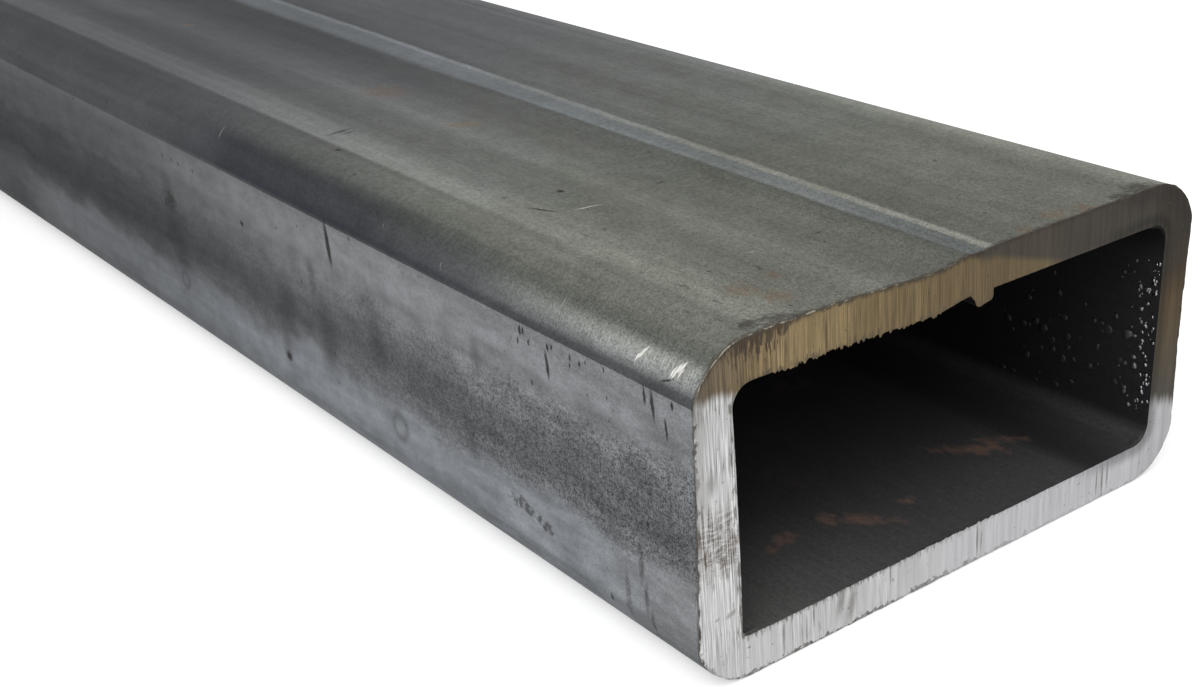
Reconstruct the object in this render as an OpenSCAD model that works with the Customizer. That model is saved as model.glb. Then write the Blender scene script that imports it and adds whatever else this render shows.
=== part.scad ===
// Rectangular hollow steel section: strip that was rolled to a tube, welded along
// one wide face, squared by rolls and sawn to length.
// The tube lies on a wide face with its length along Y and its weld on top.
// The origin is the middle of the face that it lies on.

/* [Section] */
// Width across the wide faces
section_w = 100; // [60:1:200]
// Height across the narrow sides
section_h = 50; // [40:1:120]
// Thickness of the wall
wall = 6.3; // [4:0.1:10]
// Radius of the rolled outer corners
outer_r = 9.5; // [6:0.5:15]
// Radius of the inner corners
inner_r = 3.2; // [1:0.1:6]
// Angle of the faint edge where a corner's arc meets a narrow side
corner_edge = 12; // [0:1:20]

/* [Cut] */
// Length that the tube is sawn to
length = 1000; // [200:50:6000]

/* [Weld outside] */
// Distance of the weld from the middle of the top face
weld_offset = 2.2; // [-8:0.1:12]
// Width of the strip where the weld was planed off
scarf_w = 4.5; // [2:0.1:8]
// Depth of that strip below the face
scarf_depth = 0.15; // [0.05:0.05:0.5]

/* [Weld inside] */
// Width of the bead that was left inside
bead_w = 4.6; // [4:0.1:8]
// Height of the bead below the inner face
bead_h = 2.1; // [1.8:0.1:4]
// Radius of the bead's crown
crown_r = 1; // [0.6:0.1:1.5]
// Width of the slope that leads up to the crown
toe_w = 1; // [0.2:0.1:1.5]
// Radius of the lower shoulder beside the crown
shoulder_r = 0.7; // [0.4:0.1:1]
// Height of the crown above the shoulder
shoulder_drop = 0.3; // [0:0.1:0.6]

/* [Dip beside the weld] */
// Depth of the dip that the rolls left in the top wall
dip_depth = 0.8; // [0.2:0.1:1.5]
// Distance from the deepest line to the weld
dip_to_weld = 9.2; // [8:0.1:15]
// Width of the long slope that leads down to the deepest line
dip_slope_w = 20; // [10:0.5:30]
// Width of the short rise to the weld
dip_rise_w = 6; // [4:0.5:8]

/* [Hidden] */
$fn = 96;

// Number of sides for arcs as wide as the dip's
wide_arc_sides = 720;
// Cutters run past the faces that they cut by this much
overrun = 1;

// Centres of the outer corner arcs, measured from the middle of the section
arc_x = section_w / 2 - outer_r * cos(corner_edge);
arc_z = section_h / 2 - outer_r;
// Height above the middle at which an arc meets the narrow side
edge_z = arc_z + outer_r * sin(corner_edge);

// Inside of the section
bore_w = section_w - 2 * wall;
bore_h = section_h - 2 * wall;

// Bead, measured from the middle of the weld and down from the inner face
crown_x = -bead_w / 2 + toe_w + crown_r;
crown_z = -bead_h + crown_r;
shoulder_x = bead_w / 2 - shoulder_r;
shoulder_z = -bead_h + shoulder_drop + shoulder_r;

// Place of the dip's deepest line, and the radius of an arc that sinks by the dip's
// depth over a width
dip_x = weld_offset - dip_to_weld;
function dip_radius(width) = (width * width + dip_depth * dip_depth) / (2 * dip_depth);

// Puts a copy of a shape at the four mirrored places around the middle
module at_four_corners(x, z) {
    for (side = [-1, 1], end = [-1, 1])
        translate([side * x, end * z]) children();
}

// Outer outline: flat faces, and corner arcs that run smoothly into the wide
// faces and meet the narrow sides at a faint edge
module outer_outline() {
    intersection() {
        square([section_w, section_h], center = true);
        union() {
            square([2 * arc_x, section_h], center = true);
            square([section_w, 2 * edge_z], center = true);
            at_four_corners(arc_x, arc_z) circle(r = outer_r);
        }
    }
}

// Outline of the bore, with its round corners
module bore_outline() {
    square([bore_w - 2 * inner_r, bore_h], center = true);
    square([bore_w, bore_h - 2 * inner_r], center = true);
    at_four_corners(bore_w / 2 - inner_r, bore_h / 2 - inner_r) circle(r = inner_r);
}

// Bead of metal that the weld squeezed out and left inside: a slope up to a round
// crown, a lower shoulder beside it and a steep far side
module bead_outline() {
    polygon([
        [-bead_w / 2, 0],
        [crown_x - crown_r, crown_z],
        [crown_x, -bead_h],
        [shoulder_x, -bead_h + shoulder_drop],
        [bead_w / 2, shoulder_z],
        [bead_w / 2, overrun],
        [-bead_w / 2, overrun]
    ]);
    translate([crown_x, crown_z]) circle(r = crown_r);
    translate([shoulder_x, shoulder_z]) circle(r = shoulder_r);
}

// Shallow flat strip where the outside of the weld was planed off
module scarf_outline() {
    translate([-scarf_w / 2, -scarf_depth]) square([scarf_w, scarf_depth + overrun]);
}

// One side of the dip: an arc that sinks by the dip's depth over a width, on the
// left (-1) or the right (1) of the deepest line, at a distance below the top face
module dip_side(width, side, below) {
    centre_z = dip_radius(width) - dip_depth;
    half_w = section_w + width;
    intersection() {
        translate([0, centre_z]) circle(r = dip_radius(width) + below, $fn = wide_arc_sides);
        translate([side * half_w / 2, 0]) square([half_w, section_h], center = true);
    }
}

// Dip of the top wall: a long slope down from the corner and a short rise to the weld
module dip_outline(below) {
    dip_side(dip_slope_w, -1, below);
    dip_side(dip_rise_w, 1, below);
}

// Whole cross-section, with its middle at the origin
module section() {
    difference() {
        outer_outline();
        difference() {
            bore_outline();
            translate([weld_offset, bore_h / 2]) bead_outline();
            translate([dip_x, section_h / 2]) dip_outline(wall);
        }
        translate([weld_offset, section_h / 2]) scarf_outline();
        translate([dip_x, section_h / 2]) dip_outline(0);
    }
}

module tube() {
    color([0.40, 0.41, 0.41])
        translate([0, 0, section_h / 2])
            rotate([90, 0, 0])
                linear_extrude(height = length, center = true)
                    section();
}

tube();
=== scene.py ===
# %% [markdown]
# # A rectangular steel tube
# This lesson builds the looks of one length of welded steel tube, as a merchant would saw it off for a
# customer. The tube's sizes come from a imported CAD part, and Blender only dresses it: a dense mesh with
# the marks of rolling, welding and sawing, and four finishes painted by nodes.

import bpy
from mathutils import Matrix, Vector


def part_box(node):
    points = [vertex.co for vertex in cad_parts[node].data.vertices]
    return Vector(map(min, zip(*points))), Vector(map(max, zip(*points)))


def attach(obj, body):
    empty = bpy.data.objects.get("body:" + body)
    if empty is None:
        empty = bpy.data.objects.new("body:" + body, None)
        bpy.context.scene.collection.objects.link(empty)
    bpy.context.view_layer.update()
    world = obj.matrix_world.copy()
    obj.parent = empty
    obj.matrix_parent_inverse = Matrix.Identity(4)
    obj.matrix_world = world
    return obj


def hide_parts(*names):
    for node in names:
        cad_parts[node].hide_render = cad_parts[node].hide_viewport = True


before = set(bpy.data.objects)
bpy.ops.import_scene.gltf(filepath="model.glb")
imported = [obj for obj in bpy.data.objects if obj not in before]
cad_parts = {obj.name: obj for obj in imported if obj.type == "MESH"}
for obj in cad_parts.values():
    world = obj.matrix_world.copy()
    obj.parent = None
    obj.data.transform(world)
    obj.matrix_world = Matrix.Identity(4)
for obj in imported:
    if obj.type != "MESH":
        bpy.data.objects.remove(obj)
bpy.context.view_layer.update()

# %% [markdown]
# ## Sizes
# The frame says how wide, high and long the tube is. The wall, the corners and the weld are repeated here,
# because a look has to follow the same section. Everything is in metres, so `MM` turns a size in
# millimetres into the scene's own unit.

# %% Sizes of the tube
import math

import bpy
import numpy as np
from mathutils import Quaternion, Vector

MM = 0.001
low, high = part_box("tube")
half_width = (high.x - low.x) / 2
height = high.z
front, back = low.y, high.y
length = back - front
wall = 6.3 * MM
corner_r = 9.5 * MM
bore_r = 3.2 * MM
crease_angle = 12
print(f"tube {2 * half_width:.3f} x {height:.3f} x {length:.3f} m, wall {wall / MM:.1f} mm")

# %% [markdown]
# ## The camera
# The camera comes first, because it decides which marks matter. It stands low in front of the sawn end and
# looks down the tube, so the near end is large and the far part runs out of the picture. Its place, its two
# angles and a small roll were found by matching the section's edges to the picture's. A close-up would blur
# the far part, but depth of field stays off, so that each mark can be seen from any side.

# %% Place the camera
camera_place = Vector((-0.16722, -0.64287, 0.13342))
camera_heading = math.radians(35.97)
camera_dip = math.radians(23.77)
camera_roll = math.radians(-2.743)
camera_lens = 50.556

camera_data = bpy.data.cameras.new("camera")
camera_data.sensor_width = 36
camera_data.lens = camera_lens
camera_data.clip_start = 0.01
camera = bpy.data.objects.new("camera", camera_data)
bpy.context.scene.collection.objects.link(camera)
look = Vector((
    math.sin(camera_heading) * math.cos(camera_dip),
    math.cos(camera_heading) * math.cos(camera_dip),
    -math.sin(camera_dip),
))
camera.location = camera_place
camera.rotation_mode = "QUATERNION"
camera.rotation_quaternion = look.to_track_quat("-Z", "Y") @ Quaternion((0, 0, 1), camera_roll)
bpy.context.scene.camera = camera
print("camera looks along", [round(c, 3) for c in look])

# %% [markdown]
# ## Chance that repeats
# Rolled and sawn steel is never quite even. A handful of random numbers, set at even steps and joined by
# smooth curves, gives a line that wanders like a real edge. A noise texture on a displace modifier could do
# it too, but a formula can be asked for one number at one place. The seed is fixed, so every run makes the
# same tube.

# %% A line that wanders
knot_count = 4096


def wander(place, step, seed):
    """Smooth chance values from -1 to 1 along a line, with a new value at every step."""
    place = np.asarray(place, float) / step
    knots = np.random.default_rng(seed).uniform(-1, 1, knot_count)
    first = np.floor(place).astype(int)
    share = place - first
    share = share * share * (3 - 2 * share)
    return knots[first % knot_count] * (1 - share) + knots[(first + 1) % knot_count] * share


print("a wandering line starts", np.round(wander([0, 0.5, 1, 1.5], 1, 1), 2))

# %% [markdown]
# ## The weld's line
# The tube was a flat strip once. Its two edges meet on top and were welded there, and the weld is never quite
# straight: it drifts a few millimetres along the length. A few given places joined by a smooth curve are
# enough for that.

# %% Where the weld runs
weld_x = 2.2 * MM
planed_start = 2.9
planed_growth = 2.0
planed_grown_at = 210
drift_at = np.array([0, 50, 120, 200, 270, 480, 760, 1000]) * MM
drift_by = np.array([0, 1.0, 2.7, 4.7, 5.6, 7.0, 2.4, -1.5]) * MM


def weld_place(along):
    """X of the weld's middle at a distance from the sawn front end."""
    spot = np.searchsorted(drift_at, along, side="right") - 1
    spot = min(max(spot, 0), len(drift_at) - 2)
    share = (along - drift_at[spot]) / (drift_at[spot + 1] - drift_at[spot])
    slope = np.gradient(drift_by, drift_at)
    step = drift_at[spot + 1] - drift_at[spot]
    ease = share * share * (3 - 2 * share)
    bend = share * (1 - share) * (slope[spot] * (1 - share) - slope[spot + 1] * share) * step
    return weld_x + drift_by[spot] * (1 - ease) + drift_by[spot + 1] * ease + bend


def planed_left(along):
    """How far left of the weld's middle the planed strip begins. It widens away from the cut."""
    return (planed_start + planed_growth * min(along / (planed_grown_at * MM), 1)) * MM


print("weld drifts to", round(weld_place(0.25) / MM, 1), "mm at 250 mm from the cut")

# %% [markdown]
# ## The section's outline
# Both outlines, outside and inside, are walked in the same eleven stretches: half the base, a corner, the
# near side, a corner, the top up to the weld, the weld, the rest of the top, and so on round to the base
# again. Each stretch is first drawn finely and then cut into as many even steps as a mesh needs, so the same
# drawing serves for a fine sawn end and for a coarser skin.

# %% Helpers for drawing a stretch
def arc(centre, radius, start, end, steps=24):
    """Points of a round stretch, by angles in degrees."""
    turn = np.radians(np.linspace(start, end, steps))
    return np.column_stack([centre[0] + radius * np.cos(turn), centre[1] + radius * np.sin(turn)])


def spaced(line, count):
    """A drawn stretch as a number of points at even steps, without its last point."""
    line = np.asarray(line, float)
    run = np.concatenate([[0], np.cumsum(np.linalg.norm(np.diff(line, axis=0), axis=1))])
    at = np.linspace(0, run[-1], count, endpoint=False)
    return np.column_stack([np.interp(at, run, line[:, 0]), np.interp(at, run, line[:, 1])])


print("a quarter round of 10 mm in four steps:", np.round(spaced(arc((0, 0), 10, 0, 90), 4), 1).tolist())

# %% [markdown]
# ## The dip beside the weld
# The rolls that squared the tube pressed the top in beside the weld: a long slope sinks from the corner, and
# a short rise leads up to the weld. Two arcs could draw it, but an arc ends in a faint edge that light finds.
# So two half waves of a cosine meet at the deepest line, and they run out smoothly on both sides.

# %% The dip
dip_depth = 0.8 * MM
dip_to_weld = 9.2 * MM
dip_slope_w = 22 * MM
dip_rise_w = 7 * MM


def dip(x, weld):
    """How far the top wall sinks at x: a long slope down from the corner and a short rise to the weld."""
    away = np.asarray(x) - (weld - dip_to_weld)
    share = np.where(away < 0, -away / dip_slope_w, away / dip_rise_w)
    return -dip_depth * (0.5 + 0.5 * np.cos(np.pi * np.clip(share, 0, 1)))


print("the top sinks by", round(-float(dip(weld_x - dip_to_weld, weld_x)) / MM, 2), "mm at most")

# %% [markdown]
# ## Outside of the section
# The corners are arcs that run smoothly into the wide faces and meet the narrow sides at a faint edge. The
# planed strip is a shallow trough in the top. The weld's place and the strip's width are asked for each time,
# because both change along the tube.

# %% Outer stretches
planed_right = 2.25 * MM
planed_depth = 0.2 * MM
turn_x = half_width - corner_r * math.cos(math.radians(crease_angle))


def outer_stretches(weld, left):
    """The outer outline in eleven stretches, from the middle of the base round by the near side."""
    low_z = corner_r
    high_z = height - corner_r
    edge = corner_r * math.sin(math.radians(crease_angle))
    left_top = np.linspace(-turn_x, weld - left, 80)
    right_top = np.linspace(weld + planed_right, turn_x, 60)
    planed_x = weld + np.array([-left, 0.25 * MM - left, 0, 0.4 * MM, planed_right])
    planed_z = height + dip(planed_x, weld) - planed_depth * np.array([0, 0.9, 1, 0.95, 0])
    return [
        [(0, 0), (-turn_x, 0)],
        arc((-turn_x, low_z), corner_r, -90, crease_angle - 180),
        [(-half_width, low_z - edge), (-half_width, high_z + edge)],
        arc((-turn_x, high_z), corner_r, 180 - crease_angle, 90),
        np.column_stack([left_top, height + dip(left_top, weld)]),
        np.column_stack([planed_x, planed_z]),
        np.column_stack([right_top, np.full(60, height)]),
        arc((turn_x, high_z), corner_r, 90, crease_angle),
        [(half_width, high_z + edge), (half_width, low_z - edge)],
        arc((turn_x, low_z), corner_r, -crease_angle, -90),
        [(turn_x, 0), (0, 0)],
    ]


print("the corners turn", round(turn_x / MM, 2), "mm from the middle")

# %% [markdown]
# ## Inside of the section
# The bore has the same eleven stretches, so each stretch lies behind its partner. The bead that the weld left
# inside has a slope, a round crown and a lower shoulder. It is drawn about the weld's own line, so it drifts
# with the weld.

# %% The bead
bead_w = 4.6 * MM
bead_h = 2.1 * MM
crown_r = 1.0 * MM
crown_shift = 0.3 * MM
shoulder_r = 0.7 * MM
shoulder_below = 1.1 * MM


def bead_outline(weld, ceiling, swell):
    """The bead that the weld left inside: a slope, a round crown, a lower shoulder and a steep side."""
    crown = arc((weld - crown_shift, ceiling - (bead_h - crown_r)), crown_r, 180, 270, 8)
    shoulder = arc((weld + bead_w / 2 - shoulder_r, ceiling - shoulder_below), shoulder_r, 270, 360, 6)
    line = np.vstack([
        [(weld - bead_w / 2, ceiling)], crown, shoulder, [(weld + bead_w / 2, ceiling)],
    ])
    line[:, 1] = ceiling + (line[:, 1] - ceiling) * swell
    return line


print("the bead is", bead_w / MM, "mm wide and", bead_h / MM, "mm high")

# %% [markdown]
# The rest of the bore is drawn around that bead, again from the middle of the floor round by the near wall.
# The foot of the near wall is a little thicker than the rest and has a tighter corner.

# %% Inner stretches
foot_swell = 1.3 * MM
foot_r = 1.2 * MM


def bore_stretches(weld, swell=1):
    """The bore's outline in the same eleven stretches. Swell makes the bead higher or lower."""
    side_x = half_width - wall
    bend_x = side_x - bore_r
    low_z, high_z = wall + bore_r, height - wall - bore_r
    ceiling = height - wall
    left_top = np.linspace(-bend_x, weld - bead_w / 2, 80)
    right_top = np.linspace(weld + bead_w / 2, bend_x, 60)
    foot_x = side_x - foot_swell - foot_r
    foot_z = wall + foot_r
    up = np.linspace(0, 1, 30)
    near_wall = np.column_stack([foot_swell * (1 - up ** 1.5) - side_x, foot_z + (high_z - foot_z) * up])
    return [
        [(0, wall), (-foot_x, wall)],
        arc((-foot_x, foot_z), foot_r, -90, -180, 12),
        near_wall,
        arc((-bend_x, high_z), bore_r, 180, 90, 12),
        np.column_stack([left_top, ceiling + dip(left_top, weld)]),
        bead_outline(weld, ceiling, swell),
        np.column_stack([right_top, np.full(60, ceiling)]),
        arc((bend_x, high_z), bore_r, 90, 0, 12),
        [(side_x, high_z), (side_x, low_z)],
        arc((bend_x, low_z), bore_r, 0, -90, 12),
        [(bend_x, wall), (0, wall)],
    ]


def cut_up(stretches, counts):
    """All stretches as one closed loop of points."""
    return np.vstack([spaced(line, count) for line, count in zip(stretches, counts)])


print("the near wall is", round((wall + foot_swell) / MM, 1), "mm thick at its foot")

# %% [markdown]
# ## How finely each part is cut
# Detail costs triangles, so they go where the eye goes. The sawn ends need a point for each groove and tooth,
# the skin needs enough for round corners, and the dark bore needs the fewest.

# %% Counts for the stretches
end_counts = (110, 40, 100, 40, 420, 20, 104, 40, 100, 40, 110)
skin_counts = (16, 10, 22, 16, 30, 16, 20, 10, 18, 10, 16)
bore_counts = (10, 6, 12, 6, 18, 18, 14, 6, 14, 6, 10)
sample = cut_up(outer_stretches(weld_place(0), planed_left(0)), skin_counts)
print("outer loop:", sum(skin_counts), "points, from", sample.min(0) / MM, "to", sample.max(0) / MM, "mm")

# %% [markdown]
# ## A shell that grows ring by ring
# The mesh is one closed shell: outer skin, sawn front, bore and sawn back. A curve with a profile would make
# a tube in one step, but the weld could not drift in it and the cuts could not be finer than the rest. So
# rings of points are laid one after another and joined. Rings with the same count are joined by quads. Where
# a fine ring meets a coarse one, a zip of triangles takes a step on whichever ring is behind. Each corner of
# a face also keeps where it lay on the flat strip, in millimetres, so that later the finish can be painted as
# on a sheet. A number says which of the four finishes the face will have.

# %% The shell
skin_paint, cut_paint, bore_paint, drop_paint = range(4)


class Shell:
    """Points and faces of the tube as they are laid down."""

    def __init__(self):
        self.points = []
        self.faces = []
        self.finish = []
        self.strip = []
        self.bake = []
        self.count = 0

    def ring(self, loop, y, run=None):
        """Adds a closed loop of points at y, and returns it with its run round the section."""
        loop = np.asarray(loop, float)
        y = np.broadcast_to(y, len(loop))
        self.points.append(np.column_stack([loop[:, 0], y, loop[:, 1]]))
        ids = np.arange(self.count, self.count + len(loop))
        self.count += len(loop)
        if run is None:
            closed = np.vstack([loop, loop[:1]])
            run = np.concatenate([[0], np.cumsum(np.linalg.norm(np.diff(closed, axis=0), axis=1))])
        return {"ids": ids, "run": run / run[-1], "along": float(np.mean(y) - front)}

    def face(self, ids, finish, strip, bake):
        """Adds a face with its finish and with each corner's place on both charts."""
        self.faces.append(ids)
        self.finish.append(finish)
        self.strip.extend(strip)
        self.bake.extend(bake)

    def zip(self, a, b, finish, chart, flip=False):
        """Joins two rings of any counts by triangles, or by quads where the counts are the same."""
        same = len(a["ids"]) == len(b["ids"])
        i = j = 0
        while i < len(a["ids"]) or j < len(b["ids"]):
            step_a = same or (
                i < len(a["ids"]) and (j == len(b["ids"]) or a["run"][i + 1] <= b["run"][j + 1])
            )
            step_b = same or not step_a
            corners = [(a, i)]
            if step_a:
                corners.append((a, i + 1))
            if step_b:
                corners.append((b, j + 1))
            corners.append((b, j))
            i += step_a
            j += step_b
            if flip:
                corners.reverse()
            ids = [int(r["ids"][k % len(r["ids"])]) for r, k in corners]
            spots = [chart(r, k, corners) for r, k in corners]
            self.face(ids, finish, [s[0] for s in spots], [s[1] for s in spots])


shell = Shell()
print("an empty shell with", shell.count, "points")

# %% [markdown]
# ## Where each part lies on the baked picture
# When the tube is exported, its finishes are baked into one square picture. Left alone, a one-metre tube
# would give its two small ends only a few pixels. So the square is shared out: a wide band for the skin, a
# narrow one for the dark bore, and four strips for the two sawn ends, which show the finest marks.

# %% Charts of the strip and of the baked picture
around = 2 * (2 * turn_x + height - 2 * corner_r) + 4 * corner_r * math.radians(90 - crease_angle)
around += 4 * corner_r * math.sin(math.radians(crease_angle))
around_mm = around / MM
skin_band = (0.004, 0.596)
bore_band = (0.604, 0.696)
end_bands = ((0.704, 0.772), (0.779, 0.847), (0.854, 0.922), (0.929, 0.997))
margin = 0.004


def chart_along(band):
    """A chart for a skin: the length runs across the square, the way round runs up its band."""
    def chart(ring, k, corners):
        share = ring["run"][k]
        along = ring["along"]
        strip = (share * around_mm, along / MM)
        u = margin + (1 - 2 * margin) * along / length
        return strip, (u, band[0] + (band[1] - band[0]) * share)
    return chart


def chart_end(bands):
    """A chart for a sawn end: half of the way round in each of its two strips."""
    def chart(ring, k, corners):
        middle = np.mean([r["run"][n] for r, n in corners])
        half = int(middle >= 0.5)
        share = ring["run"][k]
        u = margin + (1 - 2 * margin) * (share * 2 - half)
        band = bands[half]
        strip = (share * around_mm, ring["across"] * wall / MM)
        return strip, (u, band[0] + (band[1] - band[0]) * ring["across"])
    return chart


print(f"the strip is {around_mm:.1f} mm wide")

# %% [markdown]
# ## Rolled skin
# A rolled face looks flat, but light shows that it is not: it rises and sinks by a tenth of a millimetre
# over a hand's width. The narrow sides are a little hollow. Bump in the finish could hint at this, but these
# slow waves are real geometry here, because they bend the reflections in a way that a painted finish can't.
# They die out towards the corners, which the rolls held tight.

# %% Waves of rolling
wave_height = 0.1 * MM
side_hollow = 0.25 * MM


def outward(loop):
    """The direction out of the metal at each point of an outer loop."""
    ahead = np.roll(loop, -1, axis=0) - np.roll(loop, 1, axis=0)
    ahead /= np.linalg.norm(ahead, axis=1)[:, None]
    return np.column_stack([-ahead[:, 1], ahead[:, 0]])


def rolled(loop, along):
    """An outer loop with the slow waves of rolling and the hollow of the narrow sides."""
    out = outward(loop)
    flat_x = np.clip(1 - np.abs(loop[:, 0]) / turn_x, 0, 1)
    flat_z = np.clip(1 - np.abs(loop[:, 1] / height * 2 - 1), 0, 1)
    on_side = np.abs(out[:, 0]) > 0.99
    wave = wander(along + 3.1 * loop[:, 0], 55 * MM, 11) + wander(along - 2.3 * loop[:, 1], 90 * MM, 12)
    lift = wave_height * wave * np.where(on_side, flat_z, flat_x)
    lift -= np.where(on_side, side_hollow * np.sin(np.pi * flat_z / 2) ** 2, 0)
    lift = np.where(loop[:, 1] < corner_r, np.minimum(lift, 0), lift)
    return loop + out * lift[:, None]


print("waves of", wave_height / MM, "mm, and sides hollow by", side_hollow / MM, "mm")

# %% [markdown]
# The rings stand close together by the cuts and over the part that fills the picture, and further apart in
# the rest of the length.

# %% Rings of the outer skin
skin_steps = np.concatenate([
    np.array([1.2, 2.2, 3.6, 5.5, 8, 11]),
    np.arange(15, 275, 4.5),
    np.arange(275, 985, 11),
    1000 - np.array([11, 8, 5.5, 3.6, 2.2, 1.2]),
]) * MM


def skin_loop(along, counts):
    """The outer outline at a distance from the cut, as a loop of points."""
    stretches = outer_stretches(weld_place(along), planed_left(along))
    return rolled(cut_up(stretches, counts), along)


skin = [shell.ring(skin_loop(along, skin_counts), front + along) for along in skin_steps]
for near, far in zip(skin, skin[1:]):
    shell.zip(near, far, skin_paint, chart_along(skin_band))
print(len(skin), "skin rings,", len(shell.faces), "faces")

# %% [markdown]
# ## Bore
# Nobody planes the weld inside, so its bead stays, and it swells and shrinks as the weld was made. A solidify
# modifier could make the inside from the outside, but it would copy the planed strip and miss the bead. So
# the bore has rings of its own. It needs fewer than the skin, because it is dark and only its mouth is seen.

# %% Rings of the bore
bore_steps = np.concatenate([
    np.array([0.9, 2, 3.5, 5.5, 8, 11]),
    np.arange(15, 120, 5),
    np.arange(120, 985, 17),
    1000 - np.array([11, 8, 5.5, 3.5, 2, 0.9]),
]) * MM


def bore_loop(along, counts):
    """The bore's outline at a distance from the cut, with the bead as high as it is there."""
    swell = 1 + 0.12 * wander(along, 4 * MM, 21) + 0.1 * wander(along, 15 * MM, 22)
    return cut_up(bore_stretches(weld_place(along), swell), counts)


bore = [shell.ring(bore_loop(along, bore_counts), front + along) for along in bore_steps]
for near, far in zip(bore, bore[1:]):
    shell.zip(near, far, bore_paint, chart_along(bore_band), flip=True)
print(len(bore), "bore rings,", len(shell.faces), "faces so far")

# %% [markdown]
# ## Sawn ends
# A band saw leaves fine upright grooves, a lip of burr along the outer edge and torn teeth along the inner
# one. A flat cap with bump would show grooves, but its two edges would stay as clean as a drawing. So each
# end is a set of rings from the outer edge to the inner edge. Every point is pushed back by a groove that
# depends on where it lies across the tube, so the grooves run straight up and down through all four walls,
# as a saw cuts them.

# %% Grooves, burr and teeth
across_steps = np.concatenate([[0, 0.012, 0.03], np.linspace(0.07, 0.93, 17), [0.97, 0.988, 1]])
groove_depth = 0.025 * MM
saw_lean = 0.035
burr = 0.1 * MM
tooth = 0.45 * MM
torn_from, torn_to = -38 * MM, -6 * MM
floor_torn_to = 8 * MM


def grooves(x, z, seed):
    """How far the saw's marks lie behind the cut, never in front of it."""
    upright = x + saw_lean * z + 0.15 * MM * wander(z, 9 * MM, seed)
    marks = wander(upright, 0.4 * MM, seed + 1) + 0.8 * wander(upright, 1.1 * MM, seed + 2)
    marks += 0.7 * wander(upright, 3.7 * MM, seed + 3)
    return groove_depth * np.clip(1.3 + marks, 0, None)


def lip(run, seed):
    """Burr along an outer edge: a thin lip with gaps, and a chip here and there."""
    run = run * around
    edge = 0.55 + 0.5 * wander(run, 1.3 * MM, seed) + 0.35 * wander(run, 0.6 * MM, seed + 1)
    chips = np.clip(wander(run, 2.1 * MM, seed + 2) - 0.62, 0, None) * 3.2
    return burr * (np.clip(edge, 0, 1.2) - 1.6 * chips)


def teeth(loop, run, seed):
    """Torn teeth that hang from an inner edge, longest under the top wall."""
    run = run * around
    ragged = 0.35 + 0.8 * wander(run, 0.5 * MM, seed) + 0.5 * wander(run, 0.2 * MM, seed + 1)
    ragged = np.clip(ragged, 0, 1.2)
    torn = np.clip(wander(run, 11 * MM, seed + 2) + 0.5, 0.25, 1)
    under_top = loop[:, 1] > height - 1.5 * wall
    before_weld = (loop[:, 0] > torn_from) & (loop[:, 0] < torn_to)
    near_floor = (loop[:, 1] < 1.2 * wall) & (loop[:, 0] < floor_torn_to)
    amount = np.where(near_floor, 0.5 * torn, 0.1 * torn)
    return tooth * ragged * np.where(under_top & before_weld, 0.4 + 0.6 * torn, amount)


print("grooves of", groove_depth / MM, "mm, a burr of", burr / MM, "mm and teeth of", tooth / MM, "mm")

# %% [markdown]
# The rings of an end follow each other from the outer rim to the inner rim. Both rims then get one more ring
# just behind the cut, and that ring is zipped to the first ring of the skin or the bore.

# %% One sawn end
lip_reach = 0.05
teeth_reach = 0.06
behind_rim = 0.45 * MM
inside_rim = 0.4 * MM


def sawn_end(y, inward, seed, bands, skin_ring, bore_ring):
    """A sawn end at y. Inward is 1 where the tube lies on the +Y side of the cut, and -1 otherwise."""
    along = y - front
    outer = skin_loop(along, end_counts)
    inner = cut_up(bore_stretches(weld_place(along)), end_counts)
    count = len(outer)
    run = shell.ring(outer, y)["run"]
    shell.points.pop()
    shell.count -= count
    out = outward(outer)
    into = -outward(inner)
    proud = lip(run[:-1], seed)[:, None] * out
    hang = teeth(inner, run[:-1], seed + 5)[:, None] * into
    rings = []
    for across in across_steps:
        near_outer = np.clip(1 - across / lip_reach, 0, 1)
        near_inner = np.clip(1 - (1 - across) / teeth_reach, 0, 1)
        loop = outer * (1 - across) + inner * across + proud * near_outer + hang * near_inner
        back_off = grooves(loop[:, 0], loop[:, 1], seed + 20)
        ring = shell.ring(loop, y + inward * back_off, run)
        ring["across"] = across
        ring["along"] = along
        rings.append(ring)
    for a, b in zip(rings, rings[1:]):
        shell.zip(a, b, cut_paint, chart_end(bands), flip=inward > 0)
    behind = shell.ring(outer + 0.4 * proud, y + inward * behind_rim, run)
    inside = shell.ring(inner + 0.15 * hang, y + inward * inside_rim, run)
    skin_side = [rings[0], behind, skin_ring][::inward]
    bore_side = [rings[-1], inside, bore_ring][::inward]
    for a, b in zip(skin_side, skin_side[1:]):
        shell.zip(a, b, skin_paint, chart_along(skin_band))
    for a, b in zip(bore_side, bore_side[1:]):
        shell.zip(a, b, bore_paint, chart_along(bore_band), flip=True)
    return [rings[0]["ids"], rings[-1]["ids"]]


rims = sawn_end(front, 1, 40, end_bands[:2], skin[0], bore[0])
rims += sawn_end(back, -1, 70, end_bands[2:], skin[-1], bore[-1])
print("shell:", shell.count, "points,", len(shell.faces), "faces")

# %% [markdown]
# ## Weld spatter
# Welding throws drops of molten steel into the bore, and some freeze on the far wall near the mouth. Each
# drop is a small dome that is sunk a little into the wall. The drops by the mouth are small and round, and
# those deeper in are wider and flatter. Particles could scatter them, but a short loop with a fixed seed
# gives the same drops each time. They go into the same mesh, because they are part of the same piece of
# steel.

# %% One drop
drop_rng = np.random.default_rng(5)
far_side_mm = 195.9
drop_spread = 0.0004


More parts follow.
